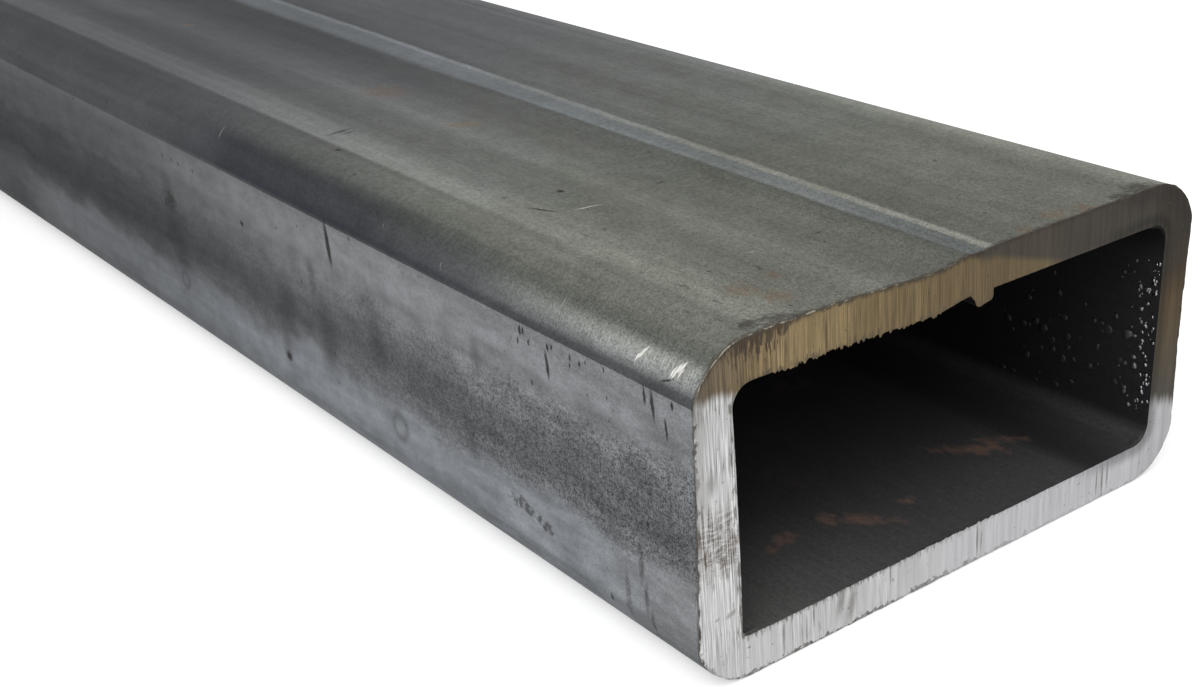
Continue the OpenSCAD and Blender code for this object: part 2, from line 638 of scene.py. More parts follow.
def dome(centre, radius, rise):
    """A closed, slightly lumpy dome on the far inner wall, with its round side towards the bore."""
    sides = 8
    turn = np.linspace(0, 2 * np.pi, sides + 1)[:-1]
    lumpy = drop_rng.uniform(0.7, 1.25, sides)
    rows = [(1, -0.3), (1, 0.15), (0.72, 0.7)]
    start = shell.count
    x, y, z = centre
    spots = []
    for out, up in rows:
        reach = radius * out * lumpy
        spots += zip([x - rise * up] * sides, y + reach * np.cos(turn), z + reach * np.sin(turn))
    spots += [(x - rise, y, z), (x + 0.3 * rise, y, z)]
    shell.points.append(np.array(spots))
    shell.count += len(spots)
    tip, foot = start + len(spots) - 2, start + len(spots) - 1
    nexts = [(i, (i + 1) % sides) for i in range(sides)]
    last = start + (len(rows) - 1) * sides
    faces = [(start + r + j, start + r + i, start + r + sides + i, start + r + sides + j)
             for r in (0, sides) for i, j in nexts]
    faces += [(last + j, last + i, tip) for i, j in nexts]
    faces += [(start + i, start + j, foot) for i, j in nexts]
    u = margin + (1 - 2 * margin) * (y - front) / length
    v = bore_band[0] + (bore_band[1] - bore_band[0]) * (far_side_mm + height / MM - z / MM) / around_mm
    for ids in faces:
        spread = [(u + drop_spread * math.cos(k), v + drop_spread * math.sin(k)) for k in range(len(ids))]
        shell.face(list(ids), drop_paint, [(0, 0)] * len(ids), spread)


print("a drop is ready to be thrown")

# %% [markdown]
# Chance decides where each drop lands. Two throws make the patch: many small ones by the mouth, and fewer
# wide ones behind them.

# %% Throw the drops
def throw_drops(count, depth, level, size, rise):
    """Throws drops at the wall: depth from the mouth, level above the floor, size and rise go by chance."""
    for _ in range(count):
        radius = drop_rng.uniform(*size) * MM
        high_up = min(max(level(), wall / MM + 3), height / MM - wall / MM - 3) * MM
        dome((half_width - wall, front + depth() * MM, high_up), radius, radius * drop_rng.uniform(*rise))


throw_drops(
    90, lambda: 0.5 + drop_rng.exponential(2.4), lambda: drop_rng.uniform(11, 37), (0.12, 0.5), (0.35, 0.8),
)
throw_drops(44, lambda: drop_rng.uniform(5, 30), lambda: drop_rng.normal(18, 5), (0.2, 0.85), (0.1, 0.32))
print("drops done,", len(shell.faces), "faces in all")

# %% [markdown]
# ## From lists to a mesh
# Blender takes the lists as they are. The rims of the saw cuts and the faint edges along the corners are
# marked sharp, so light breaks there, and all other edges are shaded smooth. A limit on the angle could find
# sharp edges too, but it would also catch every groove and tooth.

# %% Make the mesh
mesh = bpy.data.meshes.new("steel_tube")
points = np.vstack(shell.points)
mesh.from_pydata(points.tolist(), [], shell.faces)
mesh.polygons.foreach_set("material_index", shell.finish)
mesh.polygons.foreach_set("use_smooth", [True] * len(mesh.polygons))
for name, spots in (("OFBake", shell.bake), ("Strip", shell.strip)):
    layer = mesh.uv_layers.new(name=name)
    layer.data.foreach_set("uv", np.array(spots, np.float32).ravel())
mesh.uv_layers.active = mesh.uv_layers["OFBake"]
print("two charts:", [layer.name for layer in mesh.uv_layers])

# %% [markdown]
# An edge is sharp where both of its ends carry the same mark. Each rim of a cut and each faint edge of a
# corner gets a mark of its own.

# %% Mark the sharp edges
first_crease_mark = 10
edges = np.zeros(len(mesh.edges) * 2, int)
mesh.edges.foreach_get("vertices", edges)
edges = edges.reshape(-1, 2)
mark = np.zeros(len(points), int)
for number, rim in enumerate(rims):
    mark[rim] = number + 1
crease_starts = np.cumsum(skin_counts)
for number, stretch in enumerate((1, 2, 7, 8)):
    for ring in skin:
        mark[ring["ids"][crease_starts[stretch]]] = first_crease_mark + number
both = (mark[edges[:, 0]] == mark[edges[:, 1]]) & (mark[edges[:, 0]] > 0)
mesh.edges.foreach_set("use_edge_sharp", both.tolist())
mesh.validate()
mesh.update()
tube = bpy.data.objects.new("steel_tube", mesh)
bpy.context.scene.collection.objects.link(tube)
triangles = sum(len(p.vertices) - 2 for p in mesh.polygons)
print("mesh:", len(mesh.vertices), "points,", triangles, "triangles,", int(both.sum()), "sharp edges")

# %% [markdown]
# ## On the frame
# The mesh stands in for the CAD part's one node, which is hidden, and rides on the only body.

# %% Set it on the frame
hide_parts("tube")
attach(tube, "root")
print(tube.name, "rides on root and stands for tube")

# %% [markdown]
# ## A kit for wiring finishes
# A finish in Blender is a net of nodes. It can be wired by hand in the shader editor, but a net of hundreds
# is easier to read as sums. So these short helpers make one node each and give back its output. A value may
# be a number, a colour or another node's output.

# %% Nodes as sums
class Net:
    """A material whose nodes are added by short calls."""

    def __init__(self, name):
        self.material = bpy.data.materials.new(name)
        self.material.use_nodes = True
        self.tree = self.material.node_tree
        self.shader = self.tree.nodes["Principled BSDF"]

    def set(self, socket, value):
        """Links an output to a socket, or sets a plain value on it."""
        if isinstance(value, bpy.types.NodeSocket):
            self.tree.links.new(value, socket)
        else:
            socket.default_value = value

    def surface(self, sockets):
        """Sets the shader's own sockets by name."""
        for name, value in sockets.items():
            self.set(self.shader.inputs[name], value)

    def node(self, kind, inputs=(), **settings):
        """A node with its settings and inputs."""
        made = self.tree.nodes.new(kind)
        for name, value in settings.items():
            setattr(made, name, value)
        for key, value in dict(inputs).items():
            self.set(made.inputs[key], value)
        return made

    def maths(self, operation, a, b=0.0):
        return self.node("ShaderNodeMath", {0: a, 1: b}, operation=operation).outputs[0]

    def joined(self, operation, values):
        """Any number of values, taken together two by two."""
        total = values[0]
        for value in values[1:]:
            total = self.maths(operation, total, value)
        return total

    def times(self, *values):
        return self.joined("MULTIPLY", values)

    def plus(self, *values):
        return self.joined("ADD", values)

    def most(self, *values):
        return self.joined("MAXIMUM", values)


print("a net adds, multiplies and picks the most of its values")

# %% [markdown]
# The next helpers work with tones. Colours are written as they look on a screen, from 0 to 255, and turned
# into the linear numbers that Blender renders with. A fade is the most useful of them: it turns a distance
# into a share with soft ends.

# %% Fades and tones
def tint(red, green, blue):
    """A colour as seen on a screen, in Blender's linear numbers."""
    shares = [c / 255 for c in (red, green, blue)]
    return tuple(c / 12.92 if c <= 0.04045 else ((c + 0.055) / 1.055) ** 2.4 for c in shares) + (1,)


class Tones(Net):
    """A net that also fades, mixes and shades."""

    def fade(self, value, start, end, low=0.0, high=1.0):
        """Goes smoothly from low to high as a value goes from start to end."""
        made = self.node("ShaderNodeMapRange", {0: value, 1: start, 2: end, 3: low, 4: high})
        made.interpolation_type = "SMOOTHSTEP"
        return made.outputs[0]

    def sway(self, noise):
        """Noise as a number that goes to and fro between -1 and 1."""
        return self.fade(noise, 0.3, 0.7, -1, 1)

    def swing(self, noise, amount):
        """Noise around the value 1, for making a tone lighter and darker."""
        made = self.node("ShaderNodeMapRange", {0: noise, 1: 0.3, 2: 0.7, 3: 1 - amount, 4: 1 + amount})
        made.clamp = False
        return made.outputs[0]

    def mix(self, share, a, b, how="MIX"):
        made = self.node("ShaderNodeMix", data_type="RGBA", blend_type=how)
        self.set(made.inputs[0], share)
        self.set(made.inputs[6], a)
        self.set(made.inputs[7], b)
        return made.outputs[2]

    def grey(self, level):
        """A number as a grey colour."""
        return self.node("ShaderNodeCombineColor", {0: level, 1: level, 2: level}).outputs[0]

    def shade(self, colour, level):
        """A colour made lighter or darker by a number."""
        return self.mix(1, colour, self.grey(level), "MULTIPLY")

    def ramp(self, value, stops, width):
        """A tone that follows a value, by stops of (place, grey as seen on a screen)."""
        made = self.node("ShaderNodeValToRGB", {0: self.maths("DIVIDE", value, width)})
        colour_ramp = made.color_ramp
        colour_ramp.interpolation = "EASE"
        while len(colour_ramp.elements) < len(stops):
            colour_ramp.elements.new(0.5)
        for element, (place, grey) in zip(colour_ramp.elements, stops):
            element.position = place / width
            element.color = tint(grey, grey, grey)
        return made.outputs[0]


print("a middle grey of 128 on a screen is", round(tint(128, 128, 128)[0], 3), "in linear numbers")

# %% [markdown]
# The last helpers say where things are: a place in millimetres, a place stretched for noise, and strokes for
# single marks. A stroke is an oval around a spot, and marks of one shape share their turned place, which
# keeps the net small.

# %% Places, noise and strokes
class Finish(Tones):
    """A net with noise and marks: all that a finish of the tube needs."""

    def in_mm(self):
        """Where a spot lies on the tube, in millimetres."""
        spot = self.node("ShaderNodeTexCoord").outputs["Object"]
        to_mm = (1 / MM, 1 / MM, 1 / MM)
        return self.node("ShaderNodeVectorMath", {0: spot, 1: to_mm}, operation="MULTIPLY").outputs[0]

    def stretched(self, place, steps, shift=0.0, turn=(0, 0, 0)):
        """A place divided by a step for each direction, so that noise on it has features of that size."""
        return self.node("ShaderNodeMapping", {
            "Vector": place, "Location": (shift, shift, shift), "Scale": [1 / s for s in steps],
            "Rotation": [math.radians(angle) for angle in turn],
        }).outputs[0]

    def noise(self, place, detail=2.0, roughness=0.5, scale=1.0):
        made = self.node("ShaderNodeTexNoise", {"Vector": place, "Scale": scale, "Detail": detail})
        made.inputs["Roughness"].default_value = roughness
        return made.outputs["Fac"]

    def strokes(self, place, shape, turn, marks, soft=0.5):
        """A mask of marks that share a shape (width, length) and a turn. Each has a place and a size."""
        turned = self.node("ShaderNodeMapping", {
            "Vector": place, "Rotation": (0, 0, math.radians(turn)), "Scale": (shape[0] / 2, shape[1] / 2, 1),
        }, vector_type="TEXTURE").outputs[0]
        cosine, sine = math.cos(math.radians(turn)), math.sin(math.radians(turn))
        mask = 0.0
        for spot_around, spot_along, size in marks:
            centre = (
                (spot_around * cosine + spot_along * sine) / shape[0] * 2,
                (spot_along * cosine - spot_around * sine) / shape[1] * 2, 0,
            )
            reach = self.node("ShaderNodeVectorMath", {0: turned, 1: centre}, operation="DISTANCE")
            edge = self.fade(reach.outputs["Value"], size * (1 + soft / 2), size * (1 - soft / 2))
            mask = self.most(mask, edge)
        return mask


print("the kit is ready")

# %% [markdown]
# ## The rolled skin's finish
# Mill steel is grey, but not one grey. The side is painted in bands: a light one under the crease, a dark
# grainy one at mid height, and a light bluish one near the floor, which is a painted reflection of the floor.
# The rolls left streaks along the top. The strip map says how far round and how far along a spot lies, in
# millimetres, so each band is simply a tone at a place on the strip.
# A painted picture could hold the bands, but it would blur in a close look, and nodes stay sharp. Cloudy
# noise shifts the place a little, so a band has a soft and patchy edge. The far side repeats the near side,
# folded over.

# %% Places on the strip
skin_finish = Finish("mill_skin")
kit = skin_finish
strip = kit.node("ShaderNodeUVMap", uv_map="Strip").outputs[0]
strip_parts = kit.node("ShaderNodeSeparateXYZ", {0: strip})
round_mm, along_mm = strip_parts.outputs[0], strip_parts.outputs[1]
folded = kit.maths("MINIMUM", round_mm, kit.maths("SUBTRACT", around_mm, round_mm))
from_end = kit.maths("MINIMUM", along_mm, kit.maths("SUBTRACT", length / MM, along_mm))
crease_rise = corner_r * (1 - math.sin(math.radians(crease_angle)))
bend_mm = corner_r / MM * math.radians(90 - crease_angle)
crease_mm = round(turn_x / MM + bend_mm + (height - 2 * crease_rise) / MM, 1)
top_mm = round(crease_mm + bend_mm, 1)
over_far_corner = 5.5
print("on the strip, the crease lies at", crease_mm, "mm and the top begins at", top_mm, "mm")

# %% [markdown]
# A ramp holds the tones of a face, one stop for each band. The side, the corner and the top have a ramp each,
# and two plain tests pick the right one for a spot.

# %% Tones of the side, the corner and the top
cloud = kit.noise(kit.stretched(strip, (13, 22, 1)), 3, 0.55)
cloud_shift = kit.plus(cloud, -0.5)
side_place = kit.plus(folded, kit.times(cloud_shift, 12), kit.fade(from_end, 20, 0, 0, -1.2))
# The light band low on the side is a painted reflection of the floor.
side_tone = kit.ramp(side_place, [
    (0, 102), (42, 104), (51, 126), (58, 143), (61, 138), (64.5, 111), (68, 97), (72.5, 101), (75.5, 110),
    (79, 131), (83, 138), (89, 127),
], 100)
corner_place = kit.maths("SUBTRACT", folded, crease_mm)
corner_tone = kit.ramp(corner_place, [
    (0, 104), (2, 104), (4, 110), (6, 104), (7.5, 106), (9, 117), (12.9, 122),
], 13)
top_place = kit.plus(round_mm, kit.times(cloud_shift, 1.6), -top_mm)
top_tone = kit.ramp(top_place, [
    (0, 120), (1.4, 119), (2.8, 139), (5, 141), (8, 134), (10, 122), (15, 116), (19, 121), (23, 130),
    (27, 121), (31, 113), (38, 107), (50, 112), (57, 113), (63, 119), (71, 122), (76, 118), (79, 130),
    (82, 145), (88, 134),
], 95)
on_corner = kit.maths("GREATER_THAN", folded, crease_mm)
on_top = kit.times(
    kit.maths("GREATER_THAN", round_mm, top_mm),
    kit.maths("LESS_THAN", round_mm, around_mm - top_mm + over_far_corner),
)
tone = kit.mix(on_top, kit.mix(on_corner, side_tone, corner_tone), top_tone)
print("bands for the side, the corners and the top")

# %% [markdown]
# Near a cut end the skin is painted lighter, and further in darker and cooler: painted light that falls off
# along the tube. Near the ends it is also a little yellow on top from thin oil. On the corner, a smoother
# satin band carries a painted highlight near the end, a blue-black painted reflection follows it, and a dark
# line of painted shade lies along the crease.

# %% Ends, middle and corner
# Painted light: the skin is lighter near each end and darker further along the tube.
end_zone_edge = kit.plus(from_end, kit.times(cloud_shift, 90))
end_light = kit.fade(end_zone_edge, 235, 45)
dark_level = kit.plus(
    kit.fade(folded, 85, 89, 0.45, 0.62), kit.fade(folded, 90, 99, 0, -0.09),
    kit.times(kit.fade(side_place, 66, 60), kit.fade(from_end, 255, 225, -0.08, 0.2)),
    kit.times(kit.fade(round_mm, 146, 158, 0, 0.16), kit.fade(round_mm, 198, 188)),
)
end_light_level = kit.fade(end_light, 0, 1, dark_level, 1)
# Painted shade: a dark line along the crease, fading away from the end.
crease_shade = kit.times(kit.fade(corner_place, 2.0, 0.7), kit.fade(from_end, 160, 90), on_corner)
# A smoother satin band on the corner near the end, with a painted highlight in its colour.
satin_and_highlight = kit.times(
    kit.fade(from_end, 58, 4), kit.fade(corner_place, 1.1, 3.4), kit.fade(corner_place, 6.2, 4.0), on_corner,
)
# Painted reflection: a blue-black band along the corner, behind the highlight.
dark_edge = kit.plus(from_end, kit.times(cloud_shift, 40))
dark_reflection_band = kit.times(
    kit.fade(dark_edge, 25, 85), kit.fade(dark_edge, 178, 128), kit.fade(corner_place, 0, 0.8),
    kit.fade(corner_place, 10.5, 5.5), on_corner,
)


def cast(red, green, blue):
    """A slight colour cast that keeps green as it is."""
    colour = tint(red, green, blue)
    return (colour[0] / colour[1], 1, colour[2] / colour[1], 1)


above_bend = kit.times(
    kit.fade(folded, 95.5, 98), kit.fade(folded, 104.2, 103.2), kit.fade(from_end, 50, 120),
)
end_light_level = kit.times(end_light_level, kit.fade(above_bend, 0, 1, 1, 0.8))
tone = kit.shade(tone, end_light_level)
tone = kit.mix(kit.times(crease_shade, 0.85), tone, tint(72, 72, 73))
tone = kit.mix(kit.times(satin_and_highlight, 0.68), tone, (0.43, 0.43, 0.415, 1))
tone = kit.mix(kit.times(dark_reflection_band, 0.84), tone, tint(55, 57, 62))
warm = kit.times(kit.fade(end_zone_edge, 175, 25), kit.fade(folded, crease_mm, crease_mm + 9))
low_blue = kit.times(kit.fade(side_place, 66, 60), kit.fade(from_end, 300, 150), kit.fade(from_end, 4, 28))
hue = kit.mix(warm, cast(116, 118, 120), cast(116, 118, 110))
hue = kit.mix(low_blue, hue, cast(115, 118, 122))
print("handled ends, satin corner and dark band")

# %% [markdown]
# Rolling drags marks along the length, so there are soft streaks. Over them lies a cloudy mottling, slanting
# wipes from hands and rags near the ends, and a grain like salt and pepper. The grain is strongest in the
# dark band of the side near the cut, where the rolls pressed scale into the face. On the satin corner it runs
# across, because hands and racks rubbed it that way.

# %% Streaks and grain
broad = kit.swing(kit.noise(kit.stretched(strip, (7, 190, 1), 1), 2), 0.11)
narrow = kit.swing(kit.noise(kit.stretched(strip, (1.4, 45, 1), 2), 2), 0.05)
under_top = kit.fade(folded, 96, 80)
mottle_swing = kit.sway(kit.noise(kit.stretched(strip, (3.6, 5, 1), 5), 3, 0.6))
mottle_amount = kit.times(kit.fade(under_top, 0, 1, 0.08, 0.12), kit.fade(from_end, 220, 70, 0.5, 1))
mottle = kit.plus(1, kit.times(mottle_swing, mottle_amount))
clouds = kit.swing(cloud, 0.08)
slanting = kit.stretched(strip, (2.2, 11, 1), turn=(0, 0, 38))
near_share = kit.fade(from_end, 115, 12, 0.3, 1)
wipes = kit.plus(1, kit.times(kit.fade(kit.noise(slanting, 2), 0.3, 0.7, -0.14, 0.14), near_share, under_top))
in_dark = kit.times(kit.fade(side_place, 60, 65), kit.fade(side_place, 81, 76))
grain_noise = kit.noise(kit.stretched(strip, (0.3, 0.34, 1), 6), 1.5, 0.6)
pore_noise = kit.noise(kit.stretched(strip, (0.7, 1.0, 1), 13), 2, 0.6)
cross_noise = kit.noise(kit.stretched(strip, (3.5, 0.3, 1), 7), 2, 0.6)
grain_amount = kit.times(near_share, kit.plus(
    0.26, kit.times(in_dark, 0.36), kit.times(under_top, -0.08), kit.times(satin_and_highlight, 0.02)))
pore_share = kit.mix(under_top, kit.grey(kit.fade(from_end, 200, 30, 0.5, 1)), kit.grey(near_share))
pore_amount = kit.times(pore_share, kit.plus(0.14, kit.times(in_dark, 0.26), kit.times(under_top, -0.08)))
grain_swing = kit.sway(grain_noise)
pore_swing = kit.sway(pore_noise)
cross_swing = kit.sway(cross_noise)
grain = kit.plus(
    1, kit.times(grain_swing, grain_amount), kit.times(pore_swing, pore_amount),
    kit.times(cross_swing, satin_and_highlight, 0.2),
)
texture = kit.times(broad, narrow, mottle, clouds, wipes, grain)
colour = kit.mix(1, tone, hue, "MULTIPLY")
colour = kit.shade(colour, texture)
print("streaks, mottling and grain")

# %% [markdown]
# ## The planed weld
# The strip where the weld was planed is cooler and lighter than the rest, and the slope beside it carries a
# painted highlight. It could be a material of its own on the strip's faces, but then its edge would be as
# hard as the mesh. Here it follows the same drift as the geometry, read from the same few places with a
# curve, and its edge is soft.

# %% Colour of the weld
drift_curve = kit.node("ShaderNodeFloatCurve", {1: kit.maths("DIVIDE", along_mm, length / MM)})
curve = drift_curve.mapping.curves[0]
drift_span = 20.0
for number, (at, by) in enumerate(zip(drift_at, drift_by)):
    spot = (at / length, by / MM / drift_span + 0.5)
    if number in (0, len(drift_at) - 1):
        curve.points[0 if number == 0 else len(curve.points) - 1].location = spot
    else:
        curve.points.new(*spot)
drift_curve.mapping.update()
drift = kit.times(kit.plus(drift_curve.outputs[0], -0.5), drift_span)
weld_mm = top_mm + (weld_x + turn_x) / MM
ragged = kit.noise(kit.stretched(strip, (8, 9, 1), 7), 3)
from_weld = kit.plus(round_mm, -weld_mm, kit.times(drift, -1), kit.times(kit.plus(ragged, -0.5), 0.9))
from_left = kit.plus(from_weld, planed_start, kit.fade(along_mm, 0, planed_grown_at, 0, planed_growth))
planed = kit.times(kit.fade(from_left, -0.7, 1.1), kit.fade(from_weld, 1.4, 0.6))
left_share = kit.fade(from_end, 60, 160, 0.16, -0.16)
left_line = kit.times(kit.fade(from_left, -0.3, 0.6), kit.fade(from_left, 2.0, 1.0), left_share)
# Painted highlight on the slope right of the weld.
slope_highlight = kit.times(kit.fade(from_weld, 0.6, 1.25), kit.fade(from_weld, 2.7, 1.85))
toe = kit.times(kit.fade(from_left, -2.0, -0.6), kit.fade(from_left, 0.2, -0.3))
colour = kit.mix(kit.times(toe, 0.1), colour, tint(70, 72, 74))
planed_tone = kit.mix(warm, tint(115, 120, 124), tint(113, 117, 116))
planed_level = kit.times(
    texture, kit.plus(1, left_line), kit.fade(from_end, 5, 35, 0.92, 1.19),
    kit.fade(from_end, 120, 210, 1, 0.74),
)
planed_tone = kit.shade(planed_tone, planed_level)
colour = kit.mix(planed, colour, planed_tone)
slope_highlight_tone = kit.mix(warm, tint(138, 142, 146), tint(148, 149, 140))
slope_highlight_tone = kit.shade(slope_highlight_tone, texture)
broken = kit.fade(kit.noise(kit.stretched(strip, (20, 14, 1), 11), 2), 0.3, 0.6, 0.82, 1)
broken = kit.times(broken, kit.fade(from_end, 150, 215, 1, 0.72))
colour = kit.mix(kit.times(slope_highlight, broken), colour, slope_highlight_tone)
print("weld strip at", round(weld_mm, 1), "mm round the strip")

# %% [markdown]
# ## Marks of handling
# Every knock has a place: dark nicks under the crease, white scratches on the corner and the top, drips and a
# smudge on the side, and a little rust near the end. They could be painted by hand on a picture, or left to
# noise. A list of places keeps each mark where it was made and sharp at any distance. Marks of one shape are
# drawn together, each with its place round and along the strip and its size. The place is shaken slightly by
# noise, so no mark has a clean edge.

# %% Places for marks
shake = kit.node("ShaderNodeTexNoise", {"Vector": kit.stretched(strip, (0.9, 0.9, 1), 8), "Scale": 1.0})
shake_by = kit.node("ShaderNodeVectorMath", {
    0: shake.outputs["Color"], 1: (0.5, 0.5, 0)}, operation="MULTIPLY").outputs[0]
shaken = kit.node("ShaderNodeVectorMath", {0: strip, 1: shake_by}, operation="ADD").outputs[0]
half_shake = 0.25
floor_mm = round(crease_mm - (height - crease_rise) / MM, 1)
near_side_mm = round(top_mm - (half_width - turn_x) / MM, 1)


def on_side(height, along, size):
    """A mark on the near side, by its height above the floor."""
    return (floor_mm + height + half_shake, along + half_shake, size)


def on_bend(angle, along, size):
    """A mark on the corner's arc, by its angle above the side."""
    place = crease_mm + corner_r / MM * math.radians(angle - crease_angle)
    return (place + half_shake, along + half_shake, size)


def on_face(across, along, size):
    """A mark on the top, by its distance from the near side."""
    return (near_side_mm + across + half_shake, along + half_shake, size)


print("heights on the side count from", floor_mm, "mm, and places on the top from", near_side_mm, "mm")

# %% [markdown]
# Nicks are short dark cuts across the side, where another tube's end struck it. Scratches are bright, because
# they go through the dark scale. The rest of the lists are dents, slanting scrapes and hair-thin lines.

# %% Nicks and scratches
short_nicks = [on_side(*spot) for spot in (
    (41.4, 37.6, 1.5), (41.5, 36.8, 1.2), (39.6, 38.3, 1.1), (40.1, 35.6, 1.0), (40.9, 31.0, 1.2),
    (41.2, 30.0, 0.9), (41.0, 25.8, 1.0), (40.8, 23.7, 1.0), (41.5, 22.3, 0.8), (39.8, 25.9, 0.7),
    (41.8, 18.3, 0.8), (34.0, 35.5, 0.9), (37.9, 17.9, 0.6), (34.6, 17.7, 0.6), (41.7, 4.2, 1.1),
    (22.2, 10.3, 0.9), (6.9, 18.9, 1.2),
)]
long_nicks = [on_side(*spot) for spot in (
    (39.0, 93.4, 1.9), (38.1, 31.4, 1.0), (41.2, 9.8, 0.7), (40.3, 8.2, 1.0), (37.9, 5.6, 0.7),
)]
dents = [
    on_side(33.9, 126.6, 1.0), on_side(12.2, 113.4, 1.6), on_face(24.8, 61.4, 1.1), on_face(10.3, 105.9, 0.9),
]
slants = [on_face(17.6, 56, 1.0), on_bend(24.5, 5.8, 0.5)]
cross_nicks = [on_face(*spot) for spot in (
    (15.7, 115.4, 1.9), (16.8, 113.8, 0.9), (39.9, 55.4, 0.9), (42.0, 22.1, 0.7),
)]
scratches = [on_bend(*spot) for spot in (
    (35, 11.8, 0.9), (31, 12.3, 0.7), (40, 11.4, 0.5), (32, 5.3, 0.8), (35, 4.7, 1.0), (38, 4.2, 0.8),
    (30, 5.0, 0.6), (34, 4.0, 0.7), (41, 3.9, 0.5),
)]
faint_scratches = [on_bend(*spot) for spot in (
    (51, 137.5, 1.3), (46, 30, 0.8), (26, 58.9, 0.6), (36, 76.7, 0.5),
)]
thin_scratches = [on_face(23.4, 52.3, 1.2), on_face(28.7, 21.5, 0.45)]
nick_mask = kit.most(
    kit.strokes(shaken, (1.0, 0.42), 0, short_nicks, 0.9),
    kit.strokes(shaken, (4.0, 0.7), 6, long_nicks, 0.9),
    kit.strokes(shaken, (1.0, 1.2), 0, dents, 1.3),
    kit.strokes(shaken, (0.5, 4.4), 24, slants, 1.2),
    kit.times(kit.strokes(shaken, (2.4, 0.6), 12, cross_nicks, 1.4), 0.7),
)
scratch_mask = kit.most(
    kit.strokes(shaken, (1.9, 0.42), -18, scratches, 1.1),
    kit.times(kit.strokes(shaken, (3.6, 0.24), -9, thin_scratches, 1.1), 0.6),
    kit.times(kit.strokes(shaken, (2.0, 0.3), 20, faint_scratches, 1), 0.16),
)
print(len(short_nicks) + len(long_nicks), "nicks and", len(scratches) + len(thin_scratches), "scratches")

# %% [markdown]
# Stains are larger than nicks and have no edge. Old drips ran down the side, two of them dried to rings, and
# a rag left smudges. Rust began on top, where water stood, and by the cut.

# %% Places of stains and rust
drips = [on_side(*spot) for spot in (
    (9.6, 15.0, 1.0), (15.6, 12.0, 1.0), (10.6, 10.9, 0.8), (7.0, 9.6, 0.7),
)]
old_drips = [on_side(*spot) for spot in (
    (22.0, 158.2, 2.6), (30.0, 159.2, 1.6), (15.5, 113.5, 1.2), (22.0, 112.0, 2.0), (20.6, 97.0, 1.9),
    (31.0, 101.0, 0.9), (26.0, 80.0, 1.4), (33.0, 50.0, 0.9), (18.5, 53.0, 1.0),
)]
smudges = [on_side(*spot) for spot in (
    (12.9, 40.9, 1.5), (12.6, 38.4, 1.2), (11.9, 36.0, 0.9), (11.4, 33.8, 1.1), (30.4, 159.0, 2.2),
)]
top_smears = [on_face(*spot) for spot in (
    (13.6, 18.1, 1.0), (8.3, 10.7, 0.9), (13.2, 10.7, 0.8), (12.5, 25.4, 0.4), (10.4, 32.0, 0.5),
    (25.3, 16.3, 0.8), (32.0, 17.8, 0.6), (33.8, 39.0, 0.4), (15.8, 42.8, 0.6), (9.4, 6.2, 0.7),
    (13.8, 5.2, 0.6), (67.9, 22.3, 0.5),
)]
rings = [on_side(12.4, 74.8, 5.2), on_side(14.2, 157.0, 4.0)]
rust = [on_face(*spot) for spot in (
    (24.8, 12.7, 3.2), (20.0, 6.8, 5.4), (18.1, 11.7, 5.8), (35.9, 134.0, 10.0), (70.0, 2.5, 5.0),
    (62.0, 1.0, 3.6), (75.0, 1.5, 4.0),
)]
orange = [on_face(35.5, 104.4, 1.6), on_face(33.0, 216.9, 0.9), on_face(33.5, 105.5, 1.0)]
by_cut = [on_face(*spot) for spot in (
    (14.4, 1.6, 1.0), (11.8, 2.6, 0.8), (17.2, 0.7, 0.7), (88.0, 1.6, 1.1), (83.0, 0.8, 0.8),
)]
print(len(smudges) + len(top_smears) + len(by_cut), "smudges and", len(drips) + len(old_drips), "drips")
print(len(rings), "drip rings and", len(rust) + len(orange), "rust spots")

# %% [markdown]
# A stain starts as a soft round mask. Noise is added and the sum is cut off, and that turns it into a blot
# with a ragged edge, as a drying liquid leaves. Then each mask is painted over the skin, one after another.

# %% Stains and rust
blot_noise = kit.noise(kit.stretched(strip, (0.9, 1.2, 1), 9), 3, 0.65)


def blotted(mask, start, end):
    """A soft mask broken by noise into a blot with a ragged edge."""
    return kit.fade(kit.plus(mask, kit.times(kit.plus(blot_noise, -0.5), 2.4)), start, end)


drip_mask = kit.strokes(shaken, (6.0, 1.1), 4, drips, 1.2)
drip_mask = kit.times(drip_mask, kit.fade(blot_noise, 0.3, 0.6, 0.3, 1))
old_drip_mask = kit.strokes(shaken, (6.0, 3.0), 4, old_drips, 1.8)
smudge_mask = blotted(kit.strokes(shaken, (2.0, 3.4), 0, smudges, 1.6), 0.62, 1.1)
smear_mask = kit.most(
    kit.times(blotted(kit.strokes(shaken, (1.0, 3.4), 0, top_smears, 1.6), 0.5, 1.3), 0.75),
    kit.times(blotted(kit.strokes(shaken, (5.5, 3.6), 0, by_cut, 1.7), 0.1, 1.2), 0.9),
)
ring_inner = kit.strokes(shaken, (0.6, 0.6), 0, rings, 0.9)
ring_mask = kit.times(
    kit.strokes(shaken, (1, 1), 0, rings, 0.7), kit.maths("SUBTRACT", 1, kit.times(ring_inner, 0.8)),
)
rust_mask = blotted(kit.strokes(shaken, (1, 1), 0, rust, 1.7), 0.35, 1.3)
orange_mask = kit.strokes(shaken, (3.0, 1.6), -14, orange, 1.5)
marks = [
    (drip_mask, 0.62, tint(50, 50, 52)),
    (old_drip_mask, 0.4, tint(50, 50, 52)),
    (smudge_mask, 0.66, tint(50, 49, 49)),
    (smear_mask, 0.85, tint(66, 61, 56)),
    (ring_mask, 0.42, tint(62, 62, 63)),
    (rust_mask, 0.5, tint(124, 98, 78)),
    (orange_mask, 0.5, tint(134, 114, 88)),
    (nick_mask, 0.88, tint(42, 40, 38)),
    (scratch_mask, 0.95, tint(236, 234, 228)),
]
for mask, strength, paint in marks:
    colour = kit.mix(kit.times(mask, strength), colour, paint)
print(len(marks), "kinds of marks painted over the skin")
